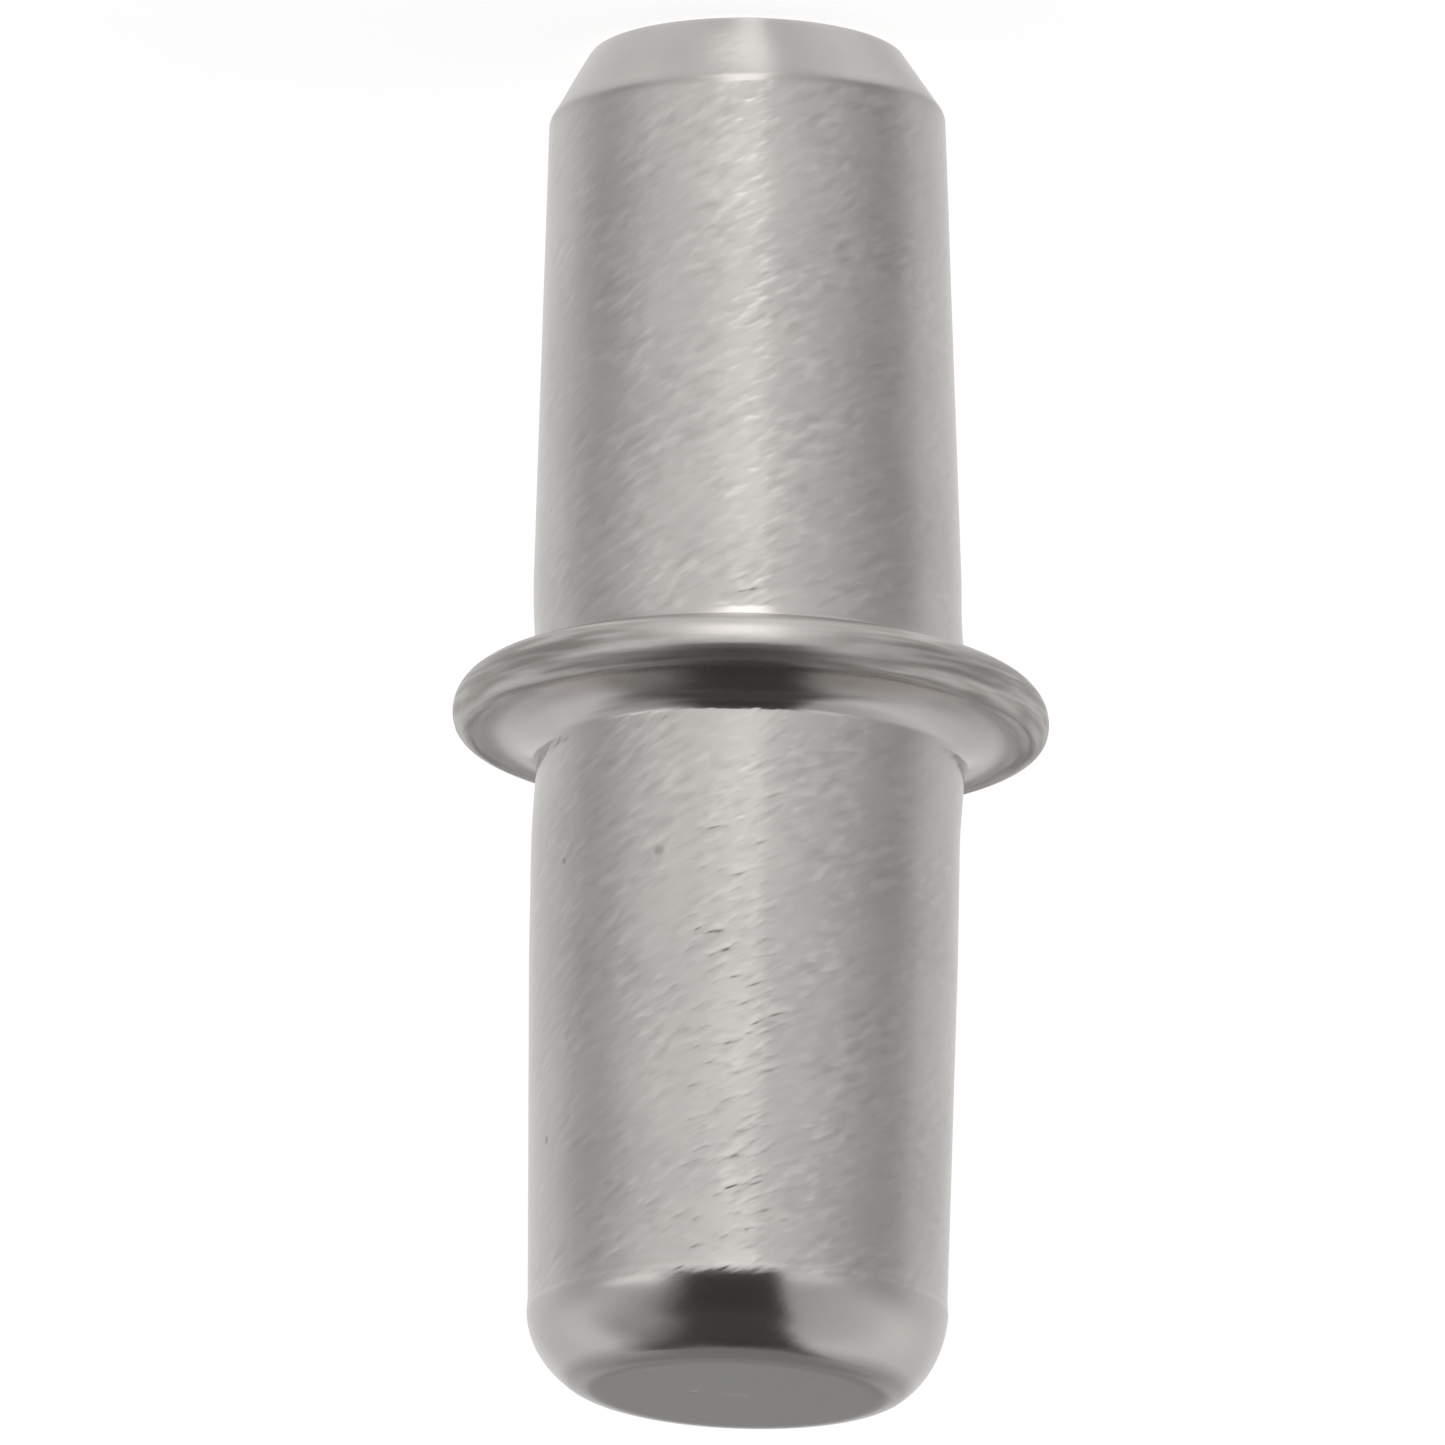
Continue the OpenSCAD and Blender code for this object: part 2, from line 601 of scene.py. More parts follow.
@dataclass(frozen=True)
class Strokes:
    """Short slanting strokes that tumbling leaves on the walls, some raised and some sunk, with a
    painted highlight on the raised ones and painted shade on the sunk ones.
    """

    slope: float = 24.0  # Slope of the strokes, in degrees
    length: float = 0.32 * MM
    width: float = 0.12 * MM
    depth: float = 3.5 * UM
    layers: float = 1.0  # Finer layers in their noise
    layer_strength: float = 0.4  # How strong the finer layers are
    span: Pair = (0.40, 0.82)  # Noise levels where a stroke comes up
    wall_radius: float = 2.5 * MM  # Radius that the strokes are wrapped on
    seam: float = 0.6 * MM  # Half the width where the front's strokes meet the rear's
    sunk_shift: float = 5.0  # Where in the noise the sunk strokes are read
    sunk_depth: float = 0.6  # Depth of the sunk strokes, beside the raised ones
    sunk_shade: float = 0.45  # How dark the painted shade in the sunk strokes is
    side_span: Pair = (1.0 * MM, 2.3 * MM)  # How far off the middle the walls grow calm
    side_levels: Pair = (1.0, 0.45)  # Share of the strokes in the middle and at the sides
    cluster_size: float = 0.8 * MM  # Width of the patches that hold more strokes
    cluster_layers: float = 1.0  # Finer layers in their noise
    cluster_span: Pair = (0.38, 0.62)  # Noise levels where they come up
    sheen_and_shade_levels: Pair = (0.30, 0.90)  # Strength of the strokes' painted highlight and shade outside and inside them
    relief_levels: Pair = (0.75, 1.10)  # How high the strokes are outside and inside those patches
    calm_levels: Pair = (0.12, 1.0)  # The same where the wall is calm and where it is busy

    def _unrolled(self, around: Wire, height: Wire, shift: float) -> Wire:
        """Strokes on an unrolled wall.

        Args:
            around: Angle round the pin, in radians.
            height: Height along the pin.
            shift: Where in the noise the strokes are read.

        Returns:
            The strokes, nought between them and one at their middles.
        """
        slope = math.radians(self.slope)
        run = around * self.wall_radius
        along = run * math.cos(slope) + height * math.sin(slope)
        across = height * math.cos(slope) - run * math.sin(slope)
        spot = run.graph.vector(along / self.length, across / self.width, shift)
        noise = run.graph.noise(spot, 1.0, self.layers, self.layer_strength)
        return noise.rise(*self.span)

    def marks(self, place: Place, shift: float) -> Wire:
        """Strokes all round the walls, with no seam in front or behind.

        Args:
            place: Place on the pin.
            shift: Where in the noise the strokes are read.

        Returns:
            The strokes, from nought to one.
        """
        front = self._unrolled(place.x.maths("ARCTAN2", -place.y), place.z, shift)
        rear = self._unrolled((-place.x).maths("ARCTAN2", place.y), place.z, shift)
        return place.graph.blend(place.y.rise(-self.seam, self.seam), front, rear)

    def clusters(self, place: Place) -> Wire:
        """The patches that hold more strokes, from nought to one."""
        patches = place.graph.noise(place.whole, 1.0 / self.cluster_size, self.cluster_layers)
        return patches.rise(*self.cluster_span)


@dataclass(frozen=True)
class Rings:
    """Marks that run round the pin, which show on the collar and on the faces."""

    length: float = 0.9 * MM
    width: float = 0.09 * MM
    layers: float = 1.0  # Finer layers in their noise
    darkening_span: Pair = (0.30, 0.68)  # Levels where the rim is darkened
    darkening_sides: Pair = (0.2 * MM, 1.8 * MM)  # How far off the middle the rim's darkening grows
    face_relief: float = 0.25  # How high the marks are on the faces
    rim_relief: float = 0.9  # How high they are on the rim

    def marks(self, place: Place) -> Wire:
        """The marks' height.

        Args:
            place: Place on the pin.

        Returns:
            Their height, from nought to one.
        """
        run = self.length
        spot = place.graph.vector(place.x / run, place.y / run, place.z / self.width)
        return place.graph.node(
            "ShaderNodeTexNoise",
            {"noise_dimensions": "4D"},
            {"Vector": spot, "W": place.radius / self.width, "Scale": 1.0, "Detail": self.layers},
        )


@dataclass(frozen=True)
class Pits:
    """The few large dents and the scattered small pits."""

    gap: float = 0.6 * MM  # Mean distance between places where a pit can be
    share: float = 0.16  # Share of those places that have one
    least: float = 0.04  # Radius of the smallest pit, beside the gap
    spread: float = 0.07  # How much larger the largest pit is, beside the gap
    floor: float = 0.2  # Share of a pit's radius that is its flat floor
    dark: float = 0.7  # How dark a pit is
    rough: float = 0.15  # How much rougher it is
    relief: float = 0.8  # How deep it is
    # The dents that show most
    dings: tuple[Ding, ...] = (
        Ding(24.0, 10.16 * MM, 0.10 * MM),
        Ding(-41.0, 1.92 * MM, 0.09 * MM),
        Ding(57.0, 10.07 * MM, 0.06 * MM),
        Ding(66.0, 13.32 * MM, 0.07 * MM),
    )

    def marks(self, place: Place, wall_radius: float) -> Wire:
        """All the pits and dents.

        Args:
            place: Place on the pin.
            wall_radius: Radius of the wall that the dents are in.

        Returns:
            One in the middle of a pit, and nought outside.
        """
        graph = place.graph
        cells = graph.node(
            "ShaderNodeTexVoronoi",
            {"voronoi_dimensions": "3D", "feature": "F1"},
            {"Vector": place.whole, "Scale": 1.0 / self.gap},
            out="Distance",
        )
        chance, size, _ = graph.split(cells.of("Color"))
        chosen = chance > (1.0 - self.share)
        reach = size * self.spread + self.least
        pit = chosen * (1.0 - (cells / reach).rise(self.floor, 1.0))
        for ding in self.dings:
            away = graph.node(
                "ShaderNodeVectorMath",
                {"operation": "DISTANCE"},
                {0: place.whole, 1: ding.middle(wall_radius)},
                out="Value",
            )
            pit = pit.at_least(1.0 - away.rise(self.floor * ding.size, ding.size))
        return pit


@dataclass(frozen=True)
class NickelPlate:
    """Tumbled nickel plate: satin grey, with short slanting strokes, pits and bright edges, and
    painted highlights and shade on edges and strokes.
    """

    pale: Colour = (0.642, 0.616, 0.598, 1.0)  # Colour of the plate where it is cleanest
    dull: Colour = (0.592, 0.571, 0.556, 1.0)  # Colour of its faint patches
    dark_and_shade: Colour = (0.380, 0.358, 0.340, 1.0)  # Colour in its dents and the rim's darker streaks, and of the painted shade in sunk strokes and on the chamfer's edge
    rubbed_and_highlight: Colour = (0.740, 0.715, 0.695, 1.0)  # Colour of its rubbed edges, partly painted highlights, and of the painted highlights on raised strokes
    cut: Colour = (0.385, 0.377, 0.368, 1.0)  # Darker colour of the peg's flat end
    strokes: Strokes = Strokes()
    rings: Rings = Rings()
    pits: Pits = Pits()
    wall_span: Pair = (0.04, 0.16)  # Slants where a wall becomes a face
    cut_span: Pair = (0.72, 0.85)  # Slants where the darker end begins
    cut_from: float = 15.0 * MM  # Height over which that end lies
    rim_span: Pair = (3.0 * MM, 3.25 * MM)  # Radii where the rim begins
    collar_span: Pair = (2.55 * MM, 2.8 * MM)  # Radii where the collar begins
    grain_size: float = 0.045 * MM  # Width of the fine grain
    grain_relief: float = 0.06  # Height of the grain, beside the strokes
    patch_size: float = 1.3 * MM  # Width of the faint patches
    patch_span: Pair = (0.35, 0.65)  # Noise levels where a patch turns pale
    layers: float = 2.0  # Finer layers in both noises
    roughness: float = 0.17  # Roughness of the plain plate
    grain_rough: float = 0.08  # How far the grain varies the roughness
    patch_rough: float = 0.05  # How far the patches vary it
    rub_smooth: float = 0.05  # How much smoother a rubbed edge is
    collar_rough: float = 0.08  # How much rougher the collar is
    rim_rough: float = 0.08  # How much rougher still its rim is

    def build(self) -> bpy.types.Material:
        """Makes the material.

        Returns:
            The material, ready for the lathe.
        """
        made = bpy.data.materials.new("tumbled_nickel_plate")
        made.use_nodes = True
        graph = Graph(made.node_tree)
        place = Place.read(graph)
        # Rubbed edges with painted highlights above nought, painted shade lines below nought
        rub_and_painted_light = graph.node("ShaderNodeAttribute", {"attribute_name": Trace.RUB_AND_PAINTED_LIGHT.value}, out="Fac")
        face = graph.node("ShaderNodeAttribute", {"attribute_name": Trace.FACE.value}, out="Fac")
        on_wall = 1.0 - face.rise(*self.wall_span)
        on_rim = place.radius.rise(*self.rim_span)
        on_collar = place.radius.rise(*self.collar_span)
        on_cut = face.rise(*self.cut_span) * (place.z > self.cut_from)

        strokes = self.strokes
        raised = strokes.marks(place, 0.0)
        sunk = strokes.marks(place, strokes.sunk_shift)
        clusters = strokes.clusters(place)
        rings = self.rings.marks(place)
        pit = self.pits.marks(place, strokes.wall_radius)
        grain = graph.noise(place.whole, 1.0 / self.grain_size, self.layers)
        patches = graph.noise(place.whole, 1.0 / self.patch_size, self.layers)
        aside = abs(place.x)
        busy = on_wall * aside.rise(*strokes.side_span).between(strokes.side_levels)
        # The strokes' colour is a painted highlight on raised strokes and painted shade on sunk
        # ones, strongest in the middle where the light stripe falls
        marks = busy * clusters.between(strokes.sheen_and_shade_levels)

        colour = graph.tint(patches.rise(*self.patch_span), self.dull, self.pale)
        # Rubbed edges, partly painted highlights, and painted highlights on raised strokes
        colour = graph.tint(rub_and_painted_light.at_least(raised * marks), colour, self.rubbed_and_highlight)
        colour = graph.tint(on_cut, colour, self.cut)
        # Darker streaks on the rim, which grow off the middle
        rim_darkening = on_rim * rings.rise(*self.rings.darkening_span) * aside.rise(*self.rings.darkening_sides)
        # Dark dents and rim streaks, painted shade on the chamfer's edge and painted shade in sunk
        # strokes
        dark = (pit * self.pits.dark).at_least(rim_darkening).at_least(-rub_and_painted_light)
        dark = dark.at_least(sunk * marks * strokes.sunk_shade)
        colour = graph.tint(dark, colour, self.dark_and_shade)

        roughness = self.roughness + (grain - NOISE_MEAN) * self.grain_rough
        roughness = roughness + (patches - NOISE_MEAN) * self.patch_rough
        roughness = roughness - rub_and_painted_light * self.rub_smooth + pit * self.pits.rough
        roughness = roughness + on_collar * self.collar_rough + on_rim * self.rim_rough

        slants = (raised - sunk * strokes.sunk_depth) * busy.between(strokes.calm_levels)
        slants = slants * (1.0 - on_rim) * clusters.between(strokes.relief_levels)
        turned = self.rings.face_relief * (1.0 - on_wall) + self.rings.rim_relief * on_rim
        relief = slants + rings * turned + grain * self.grain_relief - pit * self.pits.relief
        bump = graph.node(
            "ShaderNodeBump",
            None,
            {"Strength": 1.0, "Distance": strokes.depth, "Height": relief},
        )
        surface = graph.node(
            "ShaderNodeBsdfPrincipled",
            None,
            {"Base Color": colour, "Metallic": 1.0, "Roughness": roughness, "Normal": bump},
        )
        graph.node("ShaderNodeOutputMaterial", None, {"Surface": surface})
        return made


@dataclass
class ShelfPin:
    """The whole pin, turned in one piece."""

    plug: Plug = field(default_factory=Plug)
    collar: Collar = field(default_factory=Collar)
    peg: Peg = field(default_factory=Peg)
    finish: NickelPlate = field(default_factory=NickelPlate)
    spokes: int = 264  # How many faces go once round the pin
    plug_lean: float = 0.0105  # Plug's lean to +X, for each unit below the collar
    peg_lean: float = 0.0069  # Peg's lean to +X, for each unit above the collar
    collar_off: float = -0.04 * MM  # Collar's shift to +X
    collar_cant: float = -0.015  # Collar's rise for each unit to +X
    collar_tip: float = 0.02  # Collar's rise for each unit to the back
    chamfer_cant: float = 0.026  # Rise of the chamfer's edge for each unit to +X
    chamfer_skew: float = -0.04  # Rise of that edge for each unit to the back
    chamfer_wave: float = 0.05 * MM  # How far that edge wanders up and down
    chamfer_reach: float = 3.0  # Height up to which the wall follows that edge, in chamfers
    crown_cant: float = -0.03  # Crowned end's rise for each unit to +X
    ripple: float = 1.2 * UM  # Height of the faint waves that tumbling leaves
    ripple_size: float = 0.9 * MM  # Length of those waves
    ripple_layers: float = 1.0  # Finer layers in their noise
    seed: float = 3.0  # Fixed seed of the waves
    weld: float = 0.5 * UM  # Distance under which points are joined

    def _section(self) -> HalfSection:
        """Joins the sections of plug, collar and peg.

        Returns:
            The half section of the whole pin.
        """
        seat = self.plug.length
        top = seat + self.collar.thickness
        collar = self.collar.corners(seat, self.peg.radius)
        peg = self.peg.corners(top, self.collar.hollow_drop)
        return HalfSection((*self.plug.corners(), *collar, *peg))

    @staticmethod
    def _ring_value(section: Wire, ring: Wire, trace: Trace) -> Wire:
        """Reads one of a ring's values.

        Args:
            section: The row of points.
            ring: The ring's place in the row.
            trace: Which value.

        Returns:
            The value as a field.
        """
        graph = section.graph
        named = graph.node(
            "GeometryNodeInputNamedAttribute", {"data_type": "FLOAT"}, {"Name": trace.value}
        )
        return graph.node(
            "GeometryNodeSampleIndex",
            {"data_type": "FLOAT", "domain": "POINT"},
            {"Geometry": section, "Value": named, "Index": ring},
        )

    def _turned(self, given: Wire) -> Wire:
        """Turns the row of points into a closed skin.

        Args:
            given: The lathe's inputs.

        Returns:
            The turned mesh, welded at its seam and its two poles.
        """
        graph = given.graph
        section = given.of("Section")
        columns = given.of("Spokes") + 1.0
        rings = graph.node(
            "GeometryNodeAttributeDomainSize", {"component": "MESH"}, {"Geometry": section}
        )
        grid = graph.node(
            "GeometryNodeMeshGrid", None, {"Vertices X": rings, "Vertices Y": columns}
        )
        index = graph.node("GeometryNodeInputIndex")
        ring = (index / columns).maths("FLOOR")
        turn = (index - ring * columns) * -FULL_TURN / given.of("Spokes")
        point = graph.node(
            "GeometryNodeSampleIndex",
            {"data_type": "FLOAT_VECTOR", "domain": "POINT"},
            {"Geometry": section, "Value": graph.node("GeometryNodeInputPosition"), "Index": ring},
        )
        radius, _, height = graph.split(point)
        place = graph.vector(radius * turn.maths("COSINE"), radius * turn.maths("SINE"), height)
        skin = grid
        for trace in Trace:
            skin = graph.node(
                "GeometryNodeStoreNamedAttribute",
                {"data_type": "FLOAT", "domain": "POINT"},
                {
                    "Geometry": skin,
                    "Name": trace.value,
                    "Value": self._ring_value(section, ring, trace),
                },
            )
        skin = graph.node("GeometryNodeSetPosition", None, {"Geometry": skin, "Position": place})
        return graph.node(
            "GeometryNodeMergeByDistance", None, {"Geometry": skin, "Distance": given.of("Weld")}
        )

    def _weathered(self, given: Wire, skin: Wire) -> Wire:
        """Gives the turned skin the small faults of the real pin.

        Args:
            given: The lathe's inputs.
            skin: The turned mesh.

        Returns:
            The mesh with its leans, its cants and its waves.
        """
        graph = given.graph
        place = graph.node("GeometryNodeInputPosition")
        x, y, height = graph.split(place)
        seat = self.plug.length
        top = seat + self.collar.thickness
        lean = (seat - height).at_least(0.0) * given.of("Plug Lean")
        lean = lean + (height - top).at_least(0.0) * given.of("Peg Lean")
        half_collar = self.collar.thickness / 2.0
        collar_span = (seat - half_collar, top + half_collar)
        on_collar = height.within(collar_span, (half_collar, half_collar))
        lean = lean + on_collar * given.of("Collar Off")
        rise = (x * given.of("Collar Cant") + y * given.of("Collar Tip")) * on_collar
        chamfer = self.plug.chamfer
        half_chamfer = chamfer / 2.0
        edge_span = (half_chamfer, self.chamfer_reach * chamfer)
        on_edge = height.within(edge_span, (half_chamfer, chamfer))
        wander = graph.noise(place, 1.0 / self.ripple_size, 0.0) - NOISE_MEAN
        edge = x * given.of("Chamfer Cant") + y * given.of("Chamfer Skew")
        rise = rise + (edge + wander * given.of("Chamfer Wave")) * on_edge
        tip = top + self.peg.length
        on_crown = height.rise(tip - self.peg.lead_in, tip)
        rise = rise + x * given.of("Crown Cant") * on_crown

        waves = graph.node(
            "ShaderNodeTexNoise",
            {"noise_dimensions": "4D"},
            {
                "Vector": place,
                "W": given.of("Seed"),
                "Scale": 1.0 / given.of("Ripple Size"),
                "Detail": self.ripple_layers,
            },
        )
        flats = graph.node(
            "GeometryNodeInputNamedAttribute", {"data_type": "FLOAT"}, {"Name": Trace.FACE.value}
        )
        lift = (waves - NOISE_MEAN) / NOISE_MEAN * given.of("Ripple") * (1.0 - flats)
        normal = graph.node("GeometryNodeInputNormal")
        offset = graph.vectors("SCALE", normal, scale=lift)
        offset = graph.vectors("ADD", offset, graph.vector(lean, 0.0, rise))
        return graph.node("GeometryNodeSetPosition", None, {"Geometry": skin, "Offset": offset})

    def _inputs(self) -> dict[str, tuple[str, Value]]:
        """Names the lathe's inputs after the fields that they take.

        Returns:
            Each input's socket type and value, by name.
        """
        made: dict[str, tuple[str, Value]] = {"Spokes": ("NodeSocketInt", self.spokes)}
        for name in LATHE_NUMBERS:
            made[name.replace("_", " ").title()] = ("NodeSocketFloat", getattr(self, name))
        made["Finish"] = ("NodeSocketMaterial", self.finish.build())
        return made

    def _lathe(self, inputs: Mapping[str, tuple[str, Value]]) -> bpy.types.NodeTree:
        """Builds the tree that turns the section.

        Args:
            inputs: The tree's named inputs.

        Returns:
            The node tree.
        """
        tree = bpy.data.node_groups.new("pin_lathe", "GeometryNodeTree")
        sockets = tree.interface
        sockets.new_socket("Section", in_out="INPUT", socket_type="NodeSocketGeometry")
        for name, (kind, _) in inputs.items():
            sockets.new_socket(name, in_out="INPUT", socket_type=kind)
        sockets.new_socket("Pin", in_out="OUTPUT", socket_type="NodeSocketGeometry")
        graph = Graph(tree)
        given = graph.node("NodeGroupInput")
        skin = self._weathered(given, self._turned(given))
        skin = graph.node("GeometryNodeSetShadeSmooth", None, {"Geometry": skin})
        skin = graph.node("GeometryNodeRealizeInstances", None, {"Geometry": skin})
        skin = graph.node(
            "GeometryNodeSetMaterial", None, {"Geometry": skin, "Material": given.of("Finish")}
        )
        graph.node("NodeGroupOutput", None, {"Pin": skin})
        return tree

    def build(self) -> bpy.types.Object:
        """Turns the pin and makes it a plain mesh.

        Returns:
            The finished piece, at the origin.
        """
        piece = bpy.data.objects.new(PIECE_NAME, self._section().mesh("pin_half_section"))
        bpy.context.scene.collection.objects.link(piece)
        inputs = self._inputs()
        tree = self._lathe(inputs)
        lathe = piece.modifiers.new("pin_lathe", "NODES")
        lathe.node_group = tree
        named = {item.name: item.identifier for item in tree.interface.items_tree}
        for name, (_, value) in inputs.items():
            lathe[named[name]] = value
        graph = bpy.context.evaluated_depsgraph_get()
        turned = bpy.data.meshes.new_from_object(
            piece.evaluated_get(graph), preserve_all_data_layers=True, depsgraph=graph
        )
        turned.name = PIECE_NAME
        piece.modifiers.remove(lathe)
        piece.data = turned
        return piece

    def hand_over(self, piece: bpy.types.Object) -> None:
        """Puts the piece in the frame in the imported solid's place.

        Args:
            piece: The finished piece.
        """
        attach(piece, BODY_NAME)
        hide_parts(NODE_NAME)


@dataclass(frozen=True)
class Card:
    """One lit card or dark flag in the tent round the pin, with straight sides."""

    level: float  # Brightness of the card
    across: Pair  # Its left and its right side, in degrees to the right of the view
    along: Pair  # Its two ends, in degrees up from the view, over the plug's end and beyond
    side_soft: Pair  # Half widths of the two sides' blur
    end_soft: Pair  # Half widths of the two ends' blur


@dataclass(frozen=True)
class Tent:
    """The plain light tent: a bright wall with soft cards and flags, and a pale floor.

    Azimuths are degrees from the front and rise to -X, the picture's right. Elevations
    rise to the plug's end, the upper end in the picture.
    """

    # Light level round the pin's waist, by azimuth
    belt: tuple[Pair, ...] = (
        (-180.0, 0.77), (-150.0, 0.77), (-120.0, 0.66), (-90.0, 0.47), (-60.0, 0.66),
        (-25.0, 0.82), (0.0, 0.84), (25.0, 0.73), (60.0, 0.52), (90.0, 0.41),
        (112.0, 0.60), (145.0, 0.71), (180.0, 0.77),
    )
    # Light level high up on the plug's side, by azimuth
    upper: tuple[Pair, ...] = (
        (-180.0, 0.84), (-110.0, 0.78), (-60.0, 0.71), (0.0, 0.74), (60.0, 0.70),
        (110.0, 0.82), (180.0, 0.84),
    )
    # Light level on the peg's side, by azimuth
    lower: tuple[Pair, ...] = (
        (-180.0, 0.67), (-150.0, 0.68), (-115.0, 0.73), (-90.0, 0.60), (-50.0, 0.52),
        (0.0, 0.40), (50.0, 0.52), (90.0, 0.66), (115.0, 0.76), (150.0, 0.66),
        (180.0, 0.67),
    )
    upper_blend: Pair = (36.0, 58.0)  # Elevations where the waist becomes the upper part
    lower_blend: Pair = (-20.0, 4.0)  # Elevations where the lower part becomes the waist
    # The cards and flags, each over the ones before it
    cards: tuple[Card, ...] = (
        # Bright stripe on the walls, on the collar's shoulder and on the chamfer
        Card(0.98, (-12.0, 9.0), (-5.0, 34.0), (10.0, 4.0), (8.0, 8.0)),
        Card(1.00, (-20.0, 11.0), (24.0, 72.0), (8.0, 4.0), (10.0, 8.0)),
        Card(1.75, (-12.0, 7.0), (28.0, 68.0), (6.0, 3.0), (6.0, 6.0)),
        Card(1.10, (-4.0, 6.0), (66.0, 98.0), (4.0, 3.0), (8.0, 6.0)),
        # Grey beside the middle of the crown, and light on both sides of the lip
        Card(0.38, (-58.0, -24.0), (-106.0, -24.0), (16.0, 10.0), (16.0, 12.0)),
        Card(1.00, (-76.0, -38.0), (-9.0, 8.0), (14.0, 8.0), (6.0, 4.0)),
        Card(0.80, (28.0, 54.0), (-9.0, 8.0), (6.0, 14.0), (6.0, 4.0)),
        # Dark flags in the middle of the crown and of the hollow
        Card(0.055, (-36.0, 24.0), (-60.0, 3.5), (14.0, 5.0), (12.0, 5.0)),
        Card(0.070, (-30.0, 20.0), (-116.0, -46.0), (12.0, 5.0), (8.0, 14.0)),
        # Softer light on the peg's rounded edge and on its flat end
        Card(0.39, (-16.0, 15.0), (-152.0, -99.0), (8.0, 8.0), (10.0, 9.0)),
        Card(0.37, (-5.5, 5.5), (-171.0, -150.0), (3.5, 3.5), (4.0, 8.0)),
    )
    tone: tuple[float, float, float] = (1.0, 0.995, 0.985)  # Colour of the tent's light
    floor_radius: float = 0.6
    floor_gap: float = 20.0 * UM  # Hair's breadth between the pin's end and the floor
    floor_glow: float = 0.80  # Light that the floor gives off itself
    floor_paint: float = 0.55  # Brightness of the floor's paint, which takes the shadow
    floor_sides: int = 96  # How many straight sides the floor's edge has

    @staticmethod
    def _belt_level(azimuth: Wire, levels: Sequence[Pair]) -> Wire:
        """Reads one belt of the wall.

        Args:
            azimuth: Azimuth in degrees.
            levels: The belt's levels.

        Returns:
            The level at that azimuth.
        """
        stops = [(turn / CIRCLE + RAMP_MIDDLE, level) for turn, level in levels]
        place = azimuth / CIRCLE + RAMP_MIDDLE
        return azimuth.graph.node("ShaderNodeValToRGB", {"stops": stops}, {"Fac": place})

    def light(self) -> bpy.types.World:
        """Makes the tent's light.

        Returns:
            The world that holds it.
        """
        world = bpy.data.worlds.new("light_tent")
        world.use_nodes = True
        graph = Graph(world.node_tree)
        x, y, z = graph.split(graph.node("ShaderNodeTexCoord", out="Generated"))
        azimuth = (-x).maths("ARCTAN2", -y) * DEGREES
        elevation = (-z).maths("ARCSINE") * DEGREES
        across = (-x).maths("ARCSINE") * DEGREES
        along = (-z).maths("ARCTAN2", -y) * DEGREES
        belt = self._belt_level(azimuth, self.belt)
        upper = self._belt_level(azimuth, self.upper)
        lower = self._belt_level(azimuth, self.lower)
        level = graph.blend(elevation.rise(*self.upper_blend), belt, upper)
        level = graph.blend(1.0 - elevation.rise(*self.lower_blend), level, lower)
        for card in self.cards:
            side = across.within(card.across, card.side_soft)
            end = along.within(card.along, card.end_soft)
            level = graph.blend(side * end, level, card.level)
        colour = graph.vectors("SCALE", self.tone, scale=level)
        seen = graph.node("ShaderNodeLightPath", out="Is Camera Ray")
        colour = graph.tint(seen, colour, WHITE)
        glow = graph.node("ShaderNodeBackground", None, {"Color": colour, "Strength": 1.0})
        graph.node("ShaderNodeOutputWorld", None, {"Surface": glow})
        bpy.context.scene.world = world
        return world

    def _floor_paint(self) -> bpy.types.Material:
        """Makes the floor's paint: pale, softly lit, and clear from below.

        Returns:
            The floor's material.
        """
        made = bpy.data.materials.new("pale_floor")
        made.use_nodes = True
        graph = Graph(made.node_tree)
        paint = (self.floor_paint, self.floor_paint, self.floor_paint, 1.0)
        matt = graph.node("ShaderNodeBsdfDiffuse", None, {"Color": paint})
        glow = graph.node("ShaderNodeEmission", None, {"Strength": self.floor_glow})
        pale = graph.node("ShaderNodeAddShader", None, {0: matt, 1: glow})
        under = graph.node("ShaderNodeNewGeometry", out="Backfacing")
        clear = graph.node("ShaderNodeBsdfTransparent")
        surface = graph.node("ShaderNodeMixShader", None, {0: under, 1: pale, 2: clear})
        graph.node("ShaderNodeOutputMaterial", None, {"Surface": surface})
        return made

    def floor(self) -> bpy.types.Object:
        """Lays the floor just under the pin.

        Returns:
            The floor.
        """
        reach = self.floor_radius
        turns = [FULL_TURN * side / self.floor_sides for side in range(self.floor_sides)]
        rim = [
            (reach * math.cos(turn), reach * math.sin(turn), -self.floor_gap)
            for turn in turns
        ]
        mesh = bpy.data.meshes.new("tent_floor")
        mesh.from_pydata(rim, [], [list(range(self.floor_sides))])
        mesh.materials.append(self._floor_paint())
        made = bpy.data.objects.new("tent_floor", mesh)
        bpy.context.scene.collection.objects.link(made)
        made.visible_glossy = False
        made.visible_shadow = False
        return made


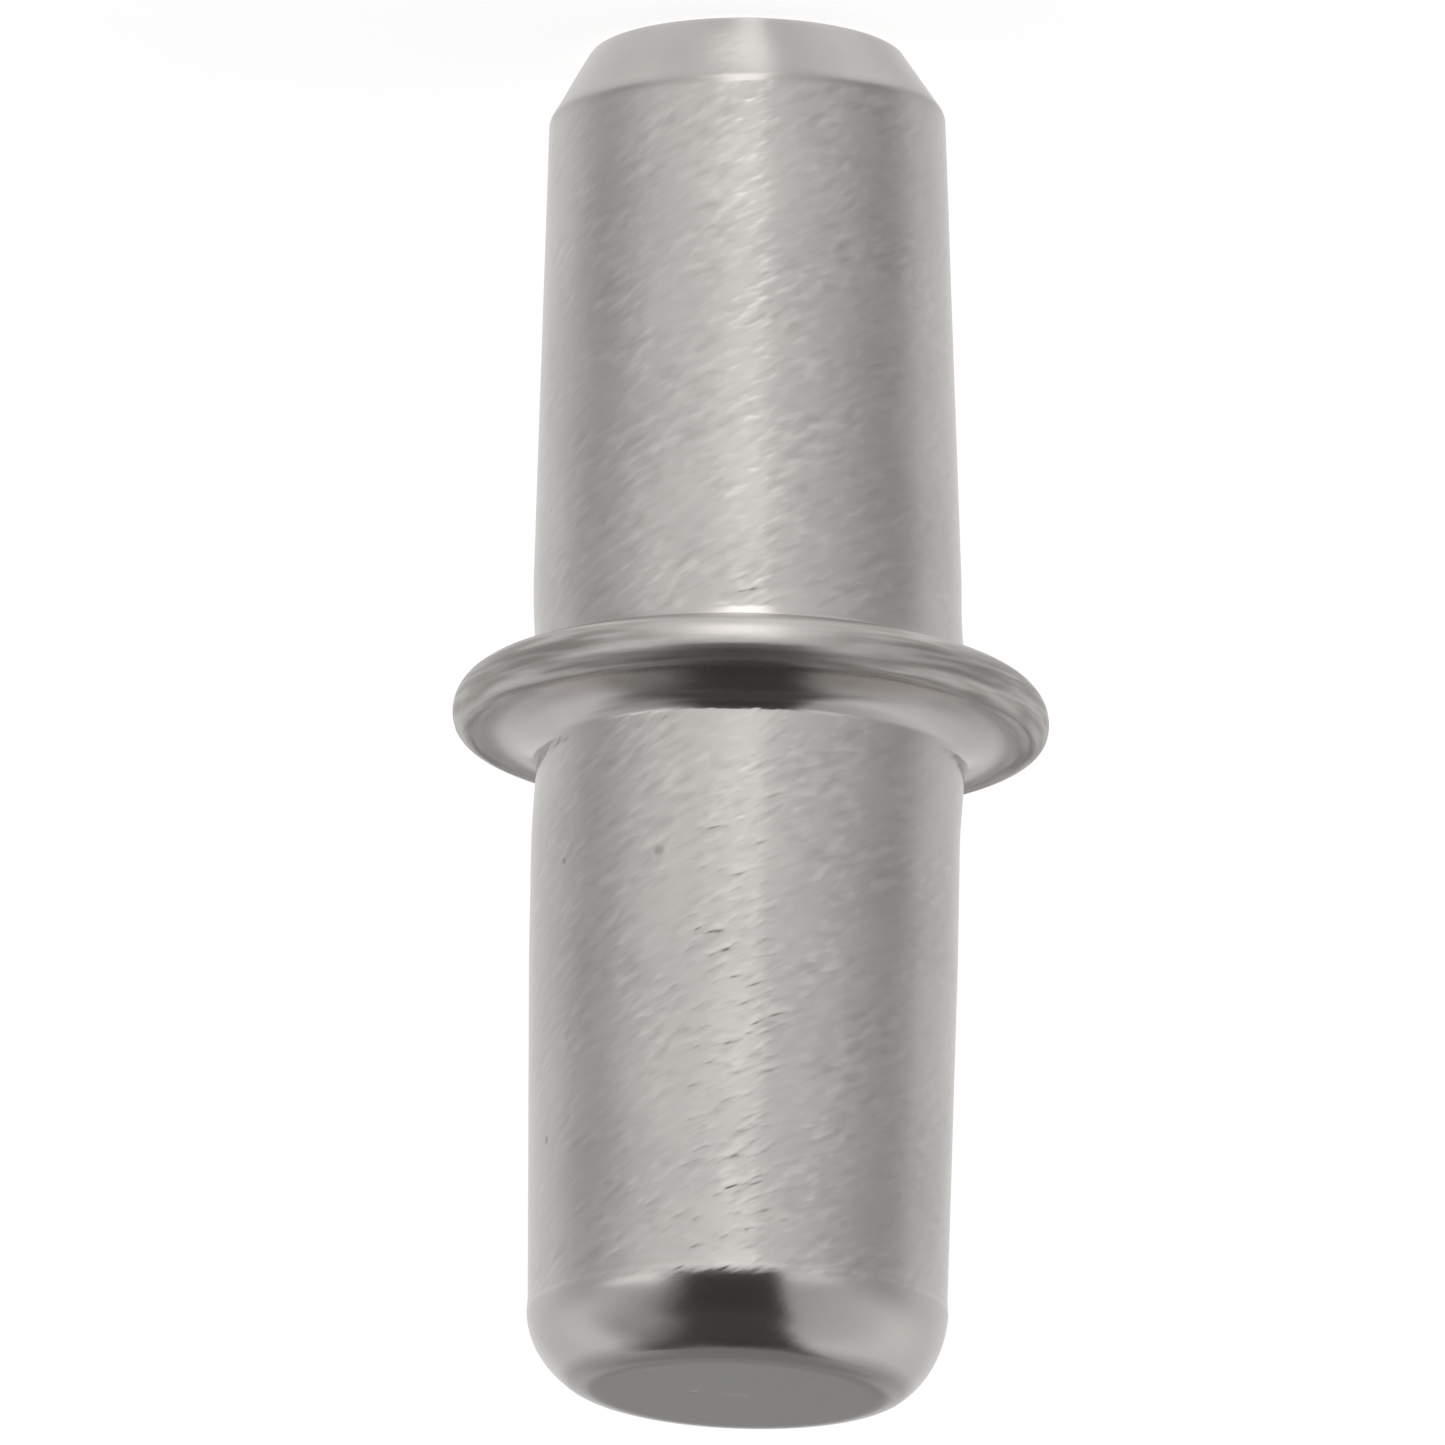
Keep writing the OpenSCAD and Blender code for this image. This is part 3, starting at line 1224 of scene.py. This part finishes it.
@dataclass(frozen=True)
class PictureCamera:
    """The camera: a little above the pin's middle, and turned upside down."""

    elevation: float = 14.4  # Degrees above the pin's own level
    roll: float = 180.6  # Degrees that the camera is turned about its view
    distance: float = 400.0 * MM  # Distance to what it aims at
    side: float = 1445.0  # Pixels of the picture
    scale: float = 85.67 / MM  # Pixels to one unit at the pin
    middle_at: Pair = (747.1, 723.85)  # Where the pin's middle is in the picture, in pixels
    sensor: float = 36.0  # Width of the sensor, in the lens's own units
    clip_reach: float = 10.0  # How many times nearer and farther than its aim it still sees

    def build(self, middle: Vector) -> bpy.types.Object:
        """Places the camera.

        Args:
            middle: The pin's middle.

        Returns:
            The scene's camera.
        """
        lift = math.radians(self.elevation)
        turn = math.radians(self.roll)
        back = Vector((0.0, -math.cos(lift), math.sin(lift)))
        level = Vector((1.0, 0.0, 0.0))
        upright = back.cross(level)
        right = level * math.cos(turn) + upright * math.sin(turn)
        up = back.cross(right)
        centre = self.side / 2.0
        across = (self.middle_at[0] - centre) / self.scale
        down = (self.middle_at[1] - centre) / self.scale
        aim = middle - right * across + up * down
        data = bpy.data.cameras.new("picture_camera")
        data.sensor_width = self.sensor
        data.lens = self.sensor * self.distance * self.scale / self.side
        data.clip_start = self.distance / self.clip_reach
        data.clip_end = self.distance * self.clip_reach
        made = bpy.data.objects.new("picture_camera", data)
        turned = Matrix((right, up, back)).transposed().to_4x4()
        made.matrix_world = Matrix.Translation(aim + back * self.distance) @ turned
        bpy.context.scene.collection.objects.link(made)
        bpy.context.scene.camera = made
        return made


def main() -> None:
    """Builds the camera, the tent and the pin, in that order."""
    logging.basicConfig(level=logging.INFO, format="%(name)s: %(message)s")
    scene = bpy.context.scene
    scene.view_settings.view_transform = "Standard"
    pin = ShelfPin()
    low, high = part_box(NODE_NAME)
    camera = PictureCamera().build((low + high) / 2.0)
    LOG.info("camera %s: lens %.0f mm", camera.name, camera.data.lens)
    tent = Tent()
    LOG.info("light %s and floor %s", tent.light().name, tent.floor().name)
    piece = pin.build()
    pin.hand_over(piece)
    piece.data.calc_loop_triangles()
    LOG.info("piece %s: %d triangles", piece.name, len(piece.data.loop_triangles))
    LOG.info("packed height %.3f mm", (high.z - low.z) / MM)


if __name__ == "__main__":
    main()
